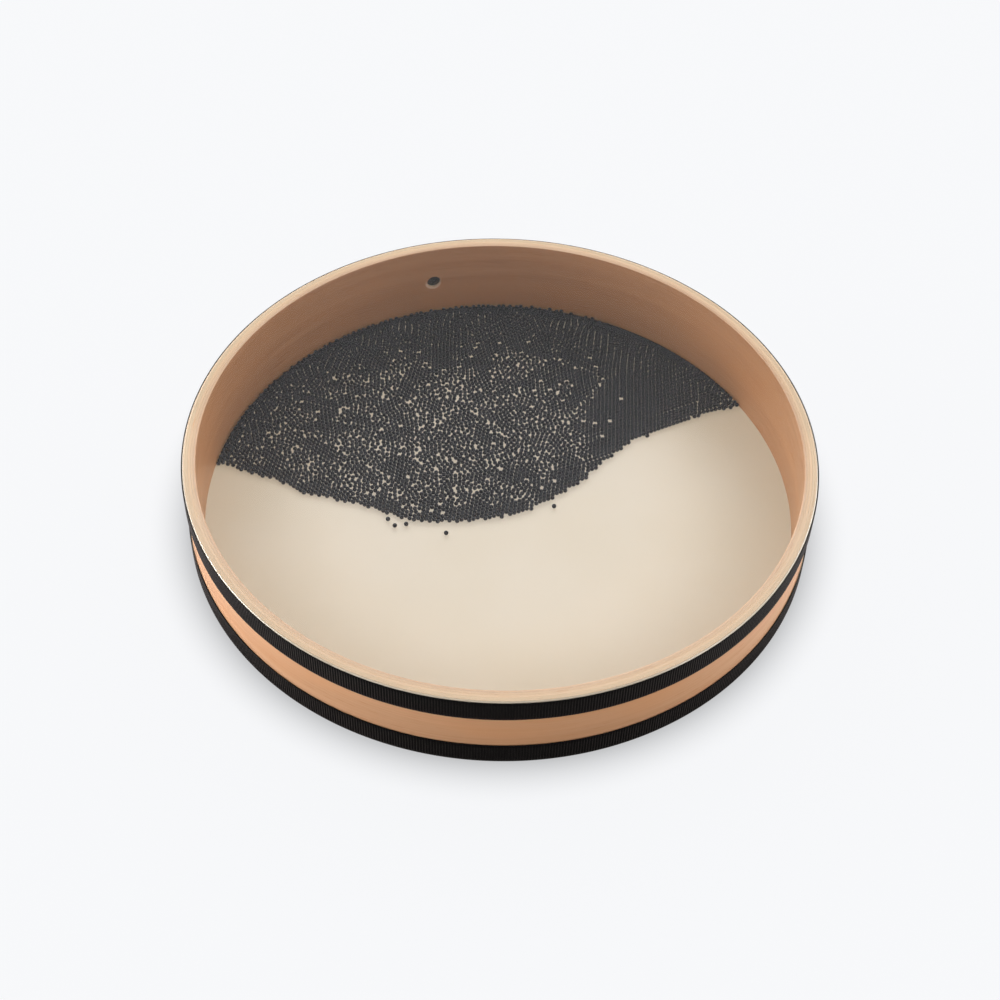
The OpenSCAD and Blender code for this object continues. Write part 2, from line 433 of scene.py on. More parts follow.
def clearFilmMaterial():
    look = clearFilmLook
    material, tree, shader = newMaterial("clearFilm", Roughness=0.06, IOR=2.2)
    place = useGroup(tree, drumCoordinates)
    marks = useGroup(tree, handlingMarks, Cloud_Scale=9.0, Speck_Scale=420.0)
    upright = partsOf(tree, addNode(tree, "ShaderNodeTexCoord").outputs["Normal"])[2]
    onTop = fade(tree, place["Radius"], wallRadius, wallRadius + look["rimEase"])
    slope = times(tree, calc(tree, "ABSOLUTE", upright), -1.0)
    bend = times(tree, onTop, fade(tree, slope, *[-edge for edge in look["bendSlope"]]))
    facing = addNode(tree, "ShaderNodeLayerWeight", {"Blend": 0.5}).outputs["Facing"]
    skinEdges = [drumHeight + drop for drop in look["upperSkin"]]
    # Painted reflection: on the upper skin the grey veil grows where the film is seen at a glance
    upperSkin = fade(tree, place["Height"], *skinEdges, 0.0, look["paintedGlanceLight"])
    paintedGlanceLight = times(tree, calc(tree, "POWER", facing, look["glancePower"]), upperSkin)
    cloud = times(tree, fade(tree, marks["Cloud"], *look["cloudRange"]), look["cloudHaze"])
    seen = plus(tree, plus(tree, paintedGlanceLight, look["hazeAndReflection"]), cloud)
    # The bend's milk all round, and a painted glint on the bend at the front, most on its right side, and
    # on the rim's top at the front
    atFront = fade(tree, times(tree, place["Y"], -1.0), *look["frontReach"])
    toRight = fade(tree, place["X"], *look["paintedGlintToRight"])
    paintedFrontGlint = times(tree, atFront, look["paintedFrontGlint"], toRight)
    milkAndGlint = times(tree, bend, plus(tree, paintedFrontGlint, look["bendHaze"]))
    milkAndGlint = plus(tree, milkAndGlint, times(tree, onTop, atFront, look["paintedRimGlint"]))
    setInput(tree, calc(tree, "MINIMUM", plus(tree, seen, milkAndGlint), 1.0), shader.inputs["Alpha"])
    tinted = fade(tree, milkAndGlint, 0.0, look["tintedFrom"])
    # The milk and the painted glint are cream; elsewhere the film's painted reflection is grey
    setInput(tree, mixColour(tree, tinted, look["paintedReflectionGrey"], look["milkAndGlintTint"]), shader.inputs["Base Color"])
    bumpInto(tree, shader, marks["Cloud"], look["bumpStrength"], look["bumpDepth"])
    return material


# Cream film of the lower head, with a painted glow (emission) that stands in for the light coming through
# it from below; the glow is weaker and warmer towards the wall, as painted shade and painted light from the
# wood
creamFilmLook = {
    "film": linearColour(180, 173, 158),
    "cloudy": linearColour(176, 168, 150),
    "roughness": (0.36, 0.5),
    "glow": linearColour(178, 168, 154),
    "glowByWall": linearColour(184, 168, 144),
    "glowMiddle": (0.08, 0.2),
    "glowAtWall": 0.6,
    "bumpStrength": 0.1,
    "bumpDepth": 0.001,
}


def creamFilmMaterial():
    look = creamFilmLook
    material, tree, shader = newMaterial("creamFilm", Specular_IOR_Level=0.35)
    marks = useGroup(tree, handlingMarks, Cloud_Scale=14.0, Speck_Scale=500.0)
    clouded = fade(tree, marks["Cloud"], *softRange)
    setInput(tree, mixColour(tree, clouded, look["film"], look["cloudy"]), shader.inputs["Base Color"])
    rough = fade(tree, marks["Cloud"], *softRange, *look["roughness"])
    setInput(tree, rough, shader.inputs["Roughness"])
    # Painted shade and painted wood light: the glow drops and warms towards the wall
    outwards = fade(tree, useGroup(tree, drumCoordinates)["Radius"], *look["glowMiddle"])
    glow = mixColour(tree, outwards, look["glow"], look["glowByWall"])
    setInput(tree, glow, shader.inputs["Emission Color"])
    strength = fade(tree, outwards, 0.0, 1.0, 1.0, look["glowAtWall"])
    setInput(tree, strength, shader.inputs["Emission Strength"])
    bumpInto(tree, shader, marks["Cloud"], look["bumpStrength"], look["bumpDepth"])
    return material


rubberLook = {
    "rubber": linearColour(58, 57, 56),
    "dust": linearColour(120, 114, 106),
    "dustRange": (0.45, 0.8),
    "dustDepth": 0.35,
    "roughness": (0.55, 0.75),
    "bumpStrength": 0.15,
    "bumpDepth": 0.00005,
}


def rubberMaterial():
    look = rubberLook
    material, tree, shader = newMaterial("plugRubber", Specular_IOR_Level=0.35)
    marks = useGroup(tree, handlingMarks, Cloud_Scale=220.0, Speck_Scale=2400.0)
    dusty = times(tree, fade(tree, marks["Cloud"], *look["dustRange"]), look["dustDepth"])
    setInput(tree, mixColour(tree, dusty, look["rubber"], look["dust"]), shader.inputs["Base Color"])
    rough = fade(tree, marks["Cloud"], *softRange, *look["roughness"])
    setInput(tree, rough, shader.inputs["Roughness"])
    bumpInto(tree, shader, marks["Specks"], look["bumpStrength"], look["bumpDepth"])
    return material


steelLook = {
    "dark": linearColour(58, 60, 64),
    "light": linearColour(78, 80, 85),
    "shadeShare": 0.7,
    "cloudShare": 0.3,
    "toneRange": (0.1, 0.9),
    "roughness": (0.36, 0.5),
    "bumpStrength": 0.1,
    "bumpDepth": 0.00004,
}


def steelMaterial():
    look = steelLook
    material, tree, shader = newMaterial(
        "beadSteel", Metallic=0.3, Specular_IOR_Level=0.1, Specular_Tint=(0.3, 0.3, 0.3, 1))
    marks = useGroup(tree, handlingMarks, Cloud_Scale=60.0, Speck_Scale=1800.0)
    shade = addNode(tree, "ShaderNodeAttribute", attribute_name="shade").outputs["Fac"]
    cloud = times(tree, marks["Cloud"], look["cloudShare"])
    tone = plus(tree, times(tree, shade, look["shadeShare"]), cloud)
    setInput(tree, mixColour(tree, tone, look["dark"], look["light"]), shader.inputs["Base Color"])
    rough = fade(tree, tone, *look["toneRange"], *look["roughness"])
    setInput(tree, rough, shader.inputs["Roughness"])
    bumpInto(tree, shader, marks["Specks"], look["bumpStrength"], look["bumpDepth"])
    return material


ribbonLook = {
    "yarn": linearColour(9, 8, 8),
    "fuzz": linearColour(26, 23, 22),
    "fuzzRange": (0.35, 0.75),
    "paintedGlanceLight": linearColour(66, 60, 58),
    "glanceRange": (0.4, 0.8),
    "roughness": (0.5, 0.66),
    "threadPitch": 0.00036,
    "bumpStrength": 0.5,
    "bumpDepth": 0.00012,
}


def ribbonMaterial():
    look = ribbonLook
    material, tree, shader = newMaterial("ribbonYarn", Specular_IOR_Level=0.12)
    weave = useGroup(tree, threadWeave, Thread_Pitch=look["threadPitch"])
    fuzz = fade(tree, weave["Fuzz"], *look["fuzzRange"])
    # Painted sheen: the base colour turns grey where the ribbon is seen at a glance
    facing = addNode(tree, "ShaderNodeLayerWeight", {"Blend": 0.5}).outputs["Facing"]
    paintedGlanceLight = fade(tree, facing, *look["glanceRange"])
    thread = mixColour(tree, fuzz, look["yarn"], look["fuzz"])
    setInput(tree, mixColour(tree, paintedGlanceLight, thread, look["paintedGlanceLight"]), shader.inputs["Base Color"])
    setInput(tree, fade(tree, fuzz, 0.0, 1.0, *look["roughness"]), shader.inputs["Roughness"])
    bumpInto(tree, shader, weave["Height"], look["bumpStrength"], look["bumpDepth"])
    return material


def paintNode(name, material):
    item = nodes[name]
    if not item.material_slots:
        item.data.materials.append(material)
    for slot in item.material_slots:
        slot.material = material


steel = steelMaterial()
for nodeName in plyLooks:
    paintNode(nodeName, plyMaterial(nodeName))
clearFilm = clearFilmMaterial()
paintNode("upper_head", clearFilm)
paintNode("lower_head", creamFilmMaterial())
paintNode("fill_plug", rubberMaterial())
for number in range(1, 6):
    paintNode(f"stray_bead_{number}", steel)
print("CAD nodes have their materials")


# Runs a tree of Geometry Nodes on a mesh and keeps the result as a plain mesh
def growWithNodes(name, startMesh, tree, values):
    item = bpy.data.objects.new(name, startMesh)
    bpy.context.scene.collection.objects.link(item)
    modifier = item.modifiers.new(tree.name, "NODES")
    modifier.node_group = tree
    sockets = {s.name: s.identifier for s in tree.interface.items_tree if s.in_out == "INPUT"}
    for label, value in values.items():
        modifier[sockets[label]] = value
    item.update_tag()
    depsgraph = bpy.context.evaluated_depsgraph_get()
    grown = bpy.data.meshes.new_from_object(item.evaluated_get(depsgraph), depsgraph=depsgraph)
    item.modifiers.clear()
    item.data = grown
    grown.name = name
    return item


# A closed round body from its half section, whose first and last points lie on the axis
def latheMesh(name, section, steps):
    points = [(0, 0, section[0][1]), (0, 0, section[-1][1])]
    rings = section[1:-1]
    turns = [i * math.tau / steps for i in range(steps)]
    for r, z in rings:
        points += [(r * math.cos(turn), r * math.sin(turn), z) for turn in turns]
    faces = []
    for i in range(steps):
        k = (i + 1) % steps
        for ring in range(len(rings) - 1):
            a = 2 + ring * steps
            faces.append((a + i, a + steps + i, a + steps + k, a + k))
        last = 2 + (len(rings) - 1) * steps
        faces += [(0, 2 + i, 2 + k), (1, last + k, last + i)]
    mesh = bpy.data.meshes.new(name)
    mesh.from_pydata(points, [], faces)
    mesh.polygons.foreach_set("use_smooth", [True] * len(mesh.polygons))
    return mesh


# The clear film, a hair thinner below than its CAD node, so that it doesn't share a face with the plies
filmSizes = {
    "thickness": 0.00022,
    "bend": 0.00155,
    "rings": (0.05, 0.1, 0.15, 0.19, 0.1975),
    "bendSteps": 8,
    "steps": 256,
}


def makeClearFilm():
    low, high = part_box("upper_head")
    outer, thickness, bend = outerRadius("upper_head"), filmSizes["thickness"], filmSizes["bend"]
    arc = [math.pi / 2 * i / filmSizes["bendSteps"] for i in range(filmSizes["bendSteps"] + 1)]

    def skin(inset):
        top = [(r, high.z - inset) for r in filmSizes["rings"]]
        radius = bend - inset
        turned = [(outer - bend + radius * math.sin(a), high.z - bend + radius * math.cos(a)) for a in arc]
        return top + turned + [(outer - inset, low.z)]

    section = [(0, high.z)] + skin(0) + skin(thickness)[::-1] + [(0, high.z - thickness)]
    mesh = latheMesh("stretched_clear_film", section, filmSizes["steps"])
    mesh.materials.append(clearFilm)
    film = bpy.data.objects.new("stretched_clear_film", mesh)
    bpy.context.scene.collection.objects.link(film)
    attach(film, "drum")
    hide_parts("upper_head")


makeClearFilm()
print("clear film stretched")


# Last nodes of both trees: real geometry with one material
def finishTree(tree, geometry, material, result):
    real = addNode(tree, "GeometryNodeRealizeInstances", {0: geometry})
    painted = addNode(tree, "GeometryNodeSetMaterial", {"Geometry": real.outputs[0], "Material": material})
    setInput(tree, painted.outputs[0], result)


ribShape = {"alongCount": 9, "acrossCount": 6, "endCrowding": 1.8, "endRounding": 12.0}


# Ribbon tree: raised ribs side by side round the band that comes in as Geometry
def buildRibTree():
    geometry = "NodeSocketGeometry"
    tree, given, made = startTree(
        "ribbonRibs", "GeometryNodeTree",
        [
            ("Geometry", geometry, None),
            ("Rib Count", "NodeSocketInt", 700),
            ("Ring Radius", floatSocket, 0.2),
            ("Rib Depth", floatSocket, 0.0003),
            ("Ribbon Width", floatSocket, 0.016),
            ("Foot Height", floatSocket, 0.0),
            ("Start Angle", floatSocket, 0.0),
            ("Arc Angle", floatSocket, 6.28),
            ("Material", "NodeSocketMaterial", None),
        ],
        [("Geometry", geometry)],
    )
    index = addNode(tree, "GeometryNodeInputIndex").outputs[0]
    step = calc(tree, "DIVIDE", given["Arc Angle"], given["Rib Count"])
    angle = plus(tree, given["Start Angle"], times(tree, step, plus(tree, index, 0.5)))
    x = times(tree, given["Ring Radius"], calc(tree, "COSINE", angle))
    y = times(tree, given["Ring Radius"], calc(tree, "SINE", angle))
    half = times(tree, given["Ribbon Width"], 0.5)
    place = combine(tree, x, y, plus(tree, given["Foot Height"], half))
    spots = addNode(tree, "GeometryNodePoints", {"Count": given["Rib Count"], "Position": place})
    # One rib: a small grid, long up the ribbon, raised in the middle and rounded off at both ends
    pitch = times(tree, step, given["Ring Radius"])
    grid = addNode(tree, "GeometryNodeMeshGrid", {
        "Size X": given["Ribbon Width"], "Size Y": pitch,
        "Vertices X": ribShape["alongCount"], "Vertices Y": ribShape["acrossCount"]})
    along, across, _ = partsOf(tree, addNode(tree, "GeometryNodeInputPosition").outputs[0])
    reach = calc(tree, "MINIMUM", calc(tree, "DIVIDE", calc(tree, "ABSOLUTE", along), half), 1.0)
    left = calc(tree, "POWER", minus(tree, 1.0, reach), ribShape["endCrowding"])
    spread = minus(tree, 1.0, left)
    newX = times(tree, spread, half, calc(tree, "SIGN", along))
    fullness = minus(tree, 1.0, calc(tree, "POWER", spread, ribShape["endRounding"]))
    crown = calc(tree, "SQRT", calc(tree, "MAXIMUM", fullness, 0.0))
    arch = calc(tree, "COSINE", times(tree, calc(tree, "DIVIDE", across, pitch), math.pi))
    rise = times(tree, calc(tree, "MAXIMUM", arch, 0.0), crown, given["Rib Depth"])
    rib = addNode(tree, "GeometryNodeSetPosition", {
        "Geometry": grid.outputs["Mesh"], "Position": combine(tree, newX, across, rise)})
    smooth = addNode(tree, "GeometryNodeSetShadeSmooth", {"Geometry": rib.outputs[0]})
    turn = addNode(tree, "FunctionNodeEulerToRotation", {0: combine(tree, 0.0, math.pi / 2, angle)})
    placed = addNode(tree, "GeometryNodeInstanceOnPoints", {
        "Points": spots.outputs[0], "Instance": smooth.outputs[0], "Rotation": turn.outputs[0]})
    joined = tree.nodes.new("GeometryNodeJoinGeometry")
    tree.links.new(given["Geometry"], joined.inputs[0])
    tree.links.new(placed.outputs[0], joined.inputs[0])
    finishTree(tree, joined.outputs[0], given["Material"], made["Geometry"])
    return tree


# A closed band round the drum with a joint, from its section's corners (radius, height)
def bandMesh(name, corners, startAngle, arcAngle, steps):
    points = []
    for i in range(steps + 1):
        angle = startAngle + arcAngle * i / steps
        points += [(r * math.cos(angle), r * math.sin(angle), z) for r, z in corners]
    n = len(corners)
    faces = [tuple(reversed(range(n))), tuple(range(steps * n, steps * n + n))]
    for i in range(steps):
        for k in range(n):
            a, b = i * n + k, i * n + (k + 1) % n
            faces.append((a, b, b + n, a + n))
    mesh = bpy.data.meshes.new(name)
    mesh.from_pydata(points, [], faces)
    mesh.validate()
    return mesh


ribbonSizes = {
    "jointAzimuths": {"upper_ribbon": 60, "lower_ribbon": 84},
    "jointGap": 0.0004,
    "ribPitch": 0.00172,
    "ribDepth": 0.00034,
    "sunkShare": 0.1,
    "edgeRound": 0.0002,
    "bandSteps": 240,
}


def makeRibbon(nodeName, name, ribTree, yarn):
    low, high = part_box(nodeName)
    points = meshPoints(nodes[nodeName])
    radii = np.hypot(points[:, 0], points[:, 1])
    inner, outer = float(radii.min()), float(radii.max())
    gapAngle = ribbonSizes["jointGap"] / outer
    start = math.radians(ribbonSizes["jointAzimuths"][nodeName]) + gapAngle / 2
    arc = math.tau - gapAngle
    depth, r = ribbonSizes["ribDepth"], ribbonSizes["edgeRound"]
    sunk = depth * ribbonSizes["sunkShare"]
    face = outer - depth
    lowerEdge = [(inner, low.z), (face - r, low.z), (face, low.z + r)]
    upperEdge = [(face, high.z - r), (face - r, high.z), (inner, high.z)]
    band = bandMesh(name, lowerEdge + upperEdge, start, arc, ribbonSizes["bandSteps"])
    return growWithNodes(name, band, ribTree, {
        "Rib Count": round(arc * outer / ribbonSizes["ribPitch"]), "Ring Radius": face - sunk,
        "Rib Depth": depth + sunk, "Ribbon Width": high.z - low.z - r, "Foot Height": low.z + r / 2,
        "Start Angle": start, "Arc Angle": arc, "Material": yarn})


ribTree = buildRibTree()
yarn = ribbonMaterial()
for nodeName, name in (("upper_ribbon", "ribbed_ribbon_upper"), ("lower_ribbon", "ribbed_ribbon_lower")):
    ribbon = makeRibbon(nodeName, name, ribTree, yarn)
    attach(ribbon, "drum")
    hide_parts(nodeName)
print("ribbons ribbed")


# The beads: grains of close-packed lattice behind the CAD fringe's front line, with open places
beadSizes = {
    "pitch": beadRadius * 2 * 1.005,
    "wallGap": 0.0002,
    "strayRoom": 0.0003,
    "frontReach": 0.55,
    "grainSpacing": 0.075,
    "grainShift": 0.42,
    "grainTurn": 0.16,
    "latticeHalf": 60,
    "ringRoom": 0.5,
    "closest": 0.66,
    "pushShare": 0.47,
    "settleRounds": 24,
    "spare": 0.012,
    "tiltRounds": 60,
    "tiltStep": 0.1,
    "tiltShares": (1.0, 0.2),
    "frontRagged": 0.0012,
    "frontRaggedScale": 180,
    "raggedLevel": (0.5, 2.0),
    "openFromWall": (0.002, 0.02),
    "openFromBack": (0.19, 0.06),
    "openFromFront": (0.006, 0.016),
    "openFromLeft": (-0.19, -0.15),
    "openFromRight": (0.1, 0.01),
    "openEverywhere": 0.09,
    "openInThreads": 0.6,
    "threadScale": 75.0,
    "threadLevel": 4.5,
    "threadWidth": 0.3,
    "threadCore": 1.5,
    "cloudScale": 30.0,
    "cloudLevel": 9.5,
    "cloudRange": (-0.8, -0.15),
    "beside": 1.3,
    "leastJitter": 0.01,
    "jitter": 0.05,
    "jitterInThreads": 1.1,
    "jitterRounds": 40,
    "room": 0.87,
    "roomStep": 1 / 6,
    "roomFilled": 0.85,
    "lastRounds": 12,
    "pileReach": 0.0046,
    "pileTouch": 1.12,
    "pileClosest": 0.98,
    "pileSides": [(60, 0.0), (80, 0.6), (150, 0.7), (175, 0.0)],
    "seed": 11,
}
fringeNodes = ["bead_fringe_left", "bead_fringe_middle", "bead_fringe_right"]
bedRadius = wallRadius - beadSizes["wallGap"] - beadRadius


# The front line of bead centres, from the CAD's single beads: x places and their y
def readFrontLine():
    points = np.vstack([meshPoints(nodes[name]) for name in fringeNodes])
    line = []
    for x in np.arange(-bedRadius, bedRadius, beadSizes["pitch"]):
        near = points[np.abs(points[:, 0] - x) < beadSizes["pitch"] * beadSizes["frontReach"]]
        if len(near):
            line.append((x, near[:, 1].min() + beadRadius))
    xs, ys = np.array(line).T
    return xs, np.convolve(np.pad(ys, 1, mode="edge"), [0.25, 0.5, 0.25], mode="valid")


def smoothShare(value, low, high):
    t = np.clip((value - low) / (high - low), 0, 1)
    return t * t * (3 - 2 * t)


def clearOfStrays(points):  # keeps each stray's way to the front wall free
    keep = np.ones(len(points), bool)
    reach = beadRadius * 2 + beadSizes["strayRoom"]
    for place in strayPlaces:
        keep &= ~((np.abs(points[:, 0] - place.x) < reach) & (points[:, 1] < place.y + reach))
    return keep


def treeOf(points):
    tree = kdtree.KDTree(len(points))
    for i, (x, y) in enumerate(points):
        tree.insert((x, y, 0), i)
    tree.balance()
    return tree


def pairsWithin(points, reach):
    tree = treeOf(points)
    found = []
    for i, (x, y) in enumerate(points):
        found += [(i, j) for _, j, _ in tree.find_range((x, y, 0), reach) if j > i]
    return np.array(found).reshape(-1, 2)


# One ring of beads along the wall, then lattice grains with rows that run from front to back
def growGrains(rng):
    spacing, pitch = beadSizes["grainSpacing"], beadSizes["pitch"]
    cells = np.arange(-0.21, 0.22, spacing)
    starts = np.array([(x, y) for x in cells for y in cells])
    shift = beadSizes["grainShift"]
    starts += rng.uniform(-shift, shift, starts.shape) * spacing
    turns = rng.normal(0, beadSizes["grainTurn"], len(starts))
    counts = np.arange(-beadSizes["latticeHalf"], beadSizes["latticeHalf"] + 1)
    i, j = np.meshgrid(counts, counts)
    lattice = np.stack([j * pitch * math.sqrt(3) / 2, (i + (j % 2) / 2) * pitch], -1).reshape(-1, 2)
    ringCount = int(math.tau * bedRadius / pitch)
    ringAngles = np.arange(ringCount) * math.tau / ringCount
    grains = [np.stack([np.cos(ringAngles), np.sin(ringAngles)], -1) * (bedRadius - 1e-6)]
    for n, (start, turn) in enumerate(zip(starts, turns)):
        spin = np.array([[math.cos(turn), -math.sin(turn)], [math.sin(turn), math.cos(turn)]])
        points = lattice @ spin.T + start
        points = points[np.linalg.norm(points, axis=1) < bedRadius - pitch * beadSizes["ringRoom"]]
        distances = np.linalg.norm(points[:, None, :] - starts[None, :, :], axis=2)
        grains.append(points[np.argmin(distances, axis=1) == n])
    return np.vstack(grains)


def settle(points, rounds):  # pushes overlapping beads apart and back inside the wall
    pitch = beadSizes["pitch"]
    for _ in range(rounds):
        pairs = pairsWithin(points, pitch)
        apart = points[pairs[:, 1]] - points[pairs[:, 0]]
        length = np.linalg.norm(apart, axis=1)
        push = apart / length[:, None] * ((pitch - length) * beadSizes["pushShare"])[:, None]
        np.add.at(points, pairs[:, 0], -push)
        np.add.at(points, pairs[:, 1], push)
        radius = np.linalg.norm(points, axis=1)
        outside = radius > bedRadius
        points[outside] *= (bedRadius / radius[outside])[:, None]
    return points


def noiseOver(points, scale, level):
    return np.array([noise.noise(Vector((x * scale, y * scale, level))) for x, y in points])


# How loose the layer is: firm along the walls, the front edge and the right side
def looseness(points, frontX, frontY):
    x, y = points.T
    loose = smoothShare(bedRadius - np.linalg.norm(points, axis=1), *beadSizes["openFromWall"])
    loose = loose * smoothShare(y - np.interp(x, frontX, frontY), *beadSizes["openFromFront"])
    loose = loose * smoothShare(-y, *[-place for place in beadSizes["openFromBack"]])
    loose = loose * smoothShare(x, *beadSizes["openFromLeft"])
    return loose * smoothShare(-x, *[-place for place in beadSizes["openFromRight"]])


def threadShare(points):  # loose threads that run through the layer
    fromCore = np.abs(noiseOver(points, beadSizes["threadScale"], beadSizes["threadLevel"]))
    thread = 1 - fromCore / beadSizes["threadWidth"]
    clouds = noiseOver(points, beadSizes["cloudScale"], beadSizes["cloudLevel"])
    cloud = smoothShare(clouds, *beadSizes["cloudRange"])
    return np.clip(thread * beadSizes["threadCore"], 0, 1) * cloud


def openPlaces(points, chance, rng):  # beads that are missing, never two side by side
    beside = [[] for _ in points]
    for i, j in pairsWithin(points, beadSizes["pitch"] * beadSizes["beside"]):
        beside[i].append(j)
        beside[j].append(i)
    isOpen = np.zeros(len(points), bool)
    for i in rng.permutation(len(points)):
        isOpen[i] = rng.random() < chance[i] and not isOpen[beside[i]].any()
    return isOpen


# Puts a bead into most of the gaps that have room for one
def fillRoom(points, frontX, frontY, rng):
    need, step = beadSizes["pitch"] * beadSizes["room"], beadSizes["pitch"] * beadSizes["roomStep"]
    tree = treeOf(points)
    xs, ys = np.meshgrid(np.arange(-bedRadius, bedRadius, step), np.arange(frontY.min(), bedRadius, step))
    spots = np.stack([xs.ravel(), ys.ravel()], -1)
    spots = spots[np.hypot(*spots.T) < bedRadius - need]
    spots = spots[spots[:, 1] > np.interp(spots[:, 0], frontX, frontY) + need]
    widest = sorted(((tree.find((x, y, 0))[2], x, y) for x, y in spots), reverse=True)
    added = []
    for distance, x, y in widest:
        if distance < need:
            break
        if all(math.hypot(x - a, y - b) > need for a, b in added):
            added.append((x, y))
    added = np.array(added).reshape(-1, 2)
    return np.vstack([points, added[rng.random(len(added)) < beadSizes["roomFilled"]]])


def packBeads():
    rng = np.random.default_rng(beadSizes["seed"])
    frontX, frontY = readFrontLine()
    points, pitch = growGrains(rng), beadSizes["pitch"]
    points = points[points[:, 1] > np.interp(points[:, 0], frontX, frontY) - beadSizes["spare"]]
    dropped = set()
    for i, j in pairsWithin(points, pitch * beadSizes["closest"]):
        if i not in dropped and j not in dropped:
            dropped.add(j)
    points = settle(np.delete(points, sorted(dropped), axis=0), beadSizes["settleRounds"])
    # Tilted towards the back wall, the beads close the cracks between their grains
    tilts = np.linspace(*beadSizes["tiltShares"], beadSizes["tiltRounds"])
    for step in tilts * beadSizes["tiltStep"] * pitch:
        points = settle(points + [0, step], 1)
    points = settle(points, beadSizes["settleRounds"])
    alongFront = points[:, 0] * beadSizes["frontRaggedScale"]
    ragged = np.array([noise.noise(Vector((x, *beadSizes["raggedLevel"]))) for x in alongFront])
    ragged = ragged * beadSizes["frontRagged"]
    points = points[points[:, 1] > np.interp(points[:, 0], frontX, frontY) + ragged]
    loose, threads = looseness(points, frontX, frontY), threadShare(points)
    chance = loose * (beadSizes["openEverywhere"] + beadSizes["openInThreads"] * threads)
    shake = beadSizes["jitter"] + beadSizes["jitterInThreads"] * threads
    shake = beadSizes["leastJitter"] + loose * shake
    kept = ~openPlaces(points, chance, rng) & clearOfStrays(points)
    points = points[kept] + rng.normal(0, 1, (kept.sum(), 2)) * shake[kept, None] * pitch
    points = settle(points, beadSizes["jitterRounds"])
    points = settle(fillRoom(points, frontX, frontY, rng), beadSizes["lastRounds"])
    return points[clearOfStrays(points)], rng


# Beads that lie on top of the first layer along the back wall
def pileBeads(points, rng):
    pitch = beadSizes["pitch"]
    byWall = points[np.linalg.norm(points, axis=1) > bedRadius - beadSizes["pileReach"] - pitch]
    pairs = pairsWithin(byWall, pitch * beadSizes["pileTouch"])
    touching = {}
    for i, j in pairs:
        touching.setdefault(i, set()).add(j)
    piled = []
    for i in sorted(touching):
        for j in sorted(touching[i]):
            for k in sorted(touching[i] & touching.get(j, set())):
                middle = byWall[[i, j, k]].mean(axis=0)
                azimuth = math.degrees(math.atan2(middle[1], middle[0]))
                if bedRadius - np.linalg.norm(middle) > beadSizes["pileReach"]:
                    continue
                if rng.random() > np.interp(azimuth, *np.array(beadSizes["pileSides"]).T):
                    continue
                closest = pitch * beadSizes["pileClosest"]
                if any(math.dist(middle, other[:2]) < closest for other in piled):
                    continue
                span = max(np.linalg.norm(byWall[[i, j, k]] - middle, axis=1))
                piled.append((middle[0], middle[1], beadHeight + math.sqrt(max(pitch ** 2 - span ** 2, 0))))
    return piled


# Bead tree: every vertex becomes a small round bead with a shade of its own
def buildBeadTree():
    geometry = "NodeSocketGeometry"
    tree, given, made = startTree(
        "scatteredBeads", "GeometryNodeTree",
        [
            ("Geometry", geometry, None),
            ("Bead Radius", floatSocket, 0.0015),
            ("Seed", "NodeSocketInt", 1),
            ("Material", "NodeSocketMaterial", None),
        ],
        [("Geometry", geometry)],
    )
    ball = addNode(tree, "GeometryNodeMeshIcoSphere", {"Radius": given["Bead Radius"], "Subdivisions": 2})
    smooth = addNode(tree, "GeometryNodeSetShadeSmooth", {"Geometry": ball.outputs["Mesh"]})
    turn = addNode(tree, "FunctionNodeRandomValue", {"Seed": given["Seed"]}, data_type="FLOAT_VECTOR")
    turn.inputs[1].default_value = (math.tau, math.tau, math.tau)
    spin = addNode(tree, "FunctionNodeEulerToRotation", {0: turn.outputs[0]})
    placed = addNode(tree, "GeometryNodeInstanceOnPoints", {
        "Points": given["Geometry"], "Instance": smooth.outputs[0], "Rotation": spin.outputs[0]})
    tone = addNode(tree, "FunctionNodeRandomValue", {"Seed": given["Seed"]}, data_type="FLOAT")
    shadeInputs = {"Geometry": placed.outputs[0], "Name": "shade", "Value": tone.outputs[1]}
    shaded = addNode(
        tree, "GeometryNodeStoreNamedAttribute", shadeInputs, data_type="FLOAT", domain="INSTANCE")
    finishTree(tree, shaded.outputs[0], given["Material"], made["Geometry"])
    return tree


def makeBeads():
    points, rng = packBeads()
    layer = [(x, y, beadHeight) for x, y in points]
    everyBead = sorted(layer + pileBeads(points, rng))
    print(len(layer), "beads in the layer,", len(everyBead) - len(layer), "on top of it")
    beadTree = buildBeadTree()
    labels = ("left", "middle", "right")
    for part, label in enumerate(labels):
        start, stop = (len(everyBead) * k // len(labels) for k in (part, part + 1))
        batch = everyBead[start:stop]
        mesh = bpy.data.meshes.new("bead_places_" + label)
        mesh.from_pydata(batch, [], [])
        beads = growWithNodes("beads_" + label, mesh, beadTree, {
            "Bead Radius": beadRadius, "Seed": beadSizes["seed"] + part, "Material": steel})
        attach(beads, "beads")
        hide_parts("bead_fringe_" + label, *(["bead_bed"] if label == "middle" else []))


makeBeads()
print("beads poured in")

# Studio: pale floor, and soft lights round the drum: (direction, tightness, strength)
studio = {
    "floorHalf": 6.0,
    "floorDrop": 0.0002,
    "floorPaper": (0.2, 0.2, 0.2, 1.0),
    "floorColour": linearColour(248, 249, 251),
    "paperSeen": 0.04,
    "glowSeen": 0.954,
    "glowOnDrum": 0.02,
    "glowAtSides": 0.95,
    "sides": (0.12, 0.3),
    "footShade": (0.42, 0.032),
    "lights": [
        ((1, 0, 0.15), 4, 0.45),
        ((0, 1, 0.15), 4, 4.4),
        ((0.7, 0, 0.7), 8, 0.8),
        ((0, -0.7, 0.7), 8, 0.8),
        ((-0.7, 0.7, 0.15), 8, 1.9),
        ((-1, 0.05, 0.05), 24, 11.0),
        ((0.87, 0.5, 0.05), 24, 5.4),
        ((1, 0, 0.05), 24, 0.6),
        ((-0.95, -0.3, 0.05), 40, 6.0),
        ((0.88, -0.45, 0.05), 40, 4.2),
        ((-0.62, -0.78, 0.05), 40, 3.2),
        ((0, 0, 1), 8, 0.25),
    ],
}


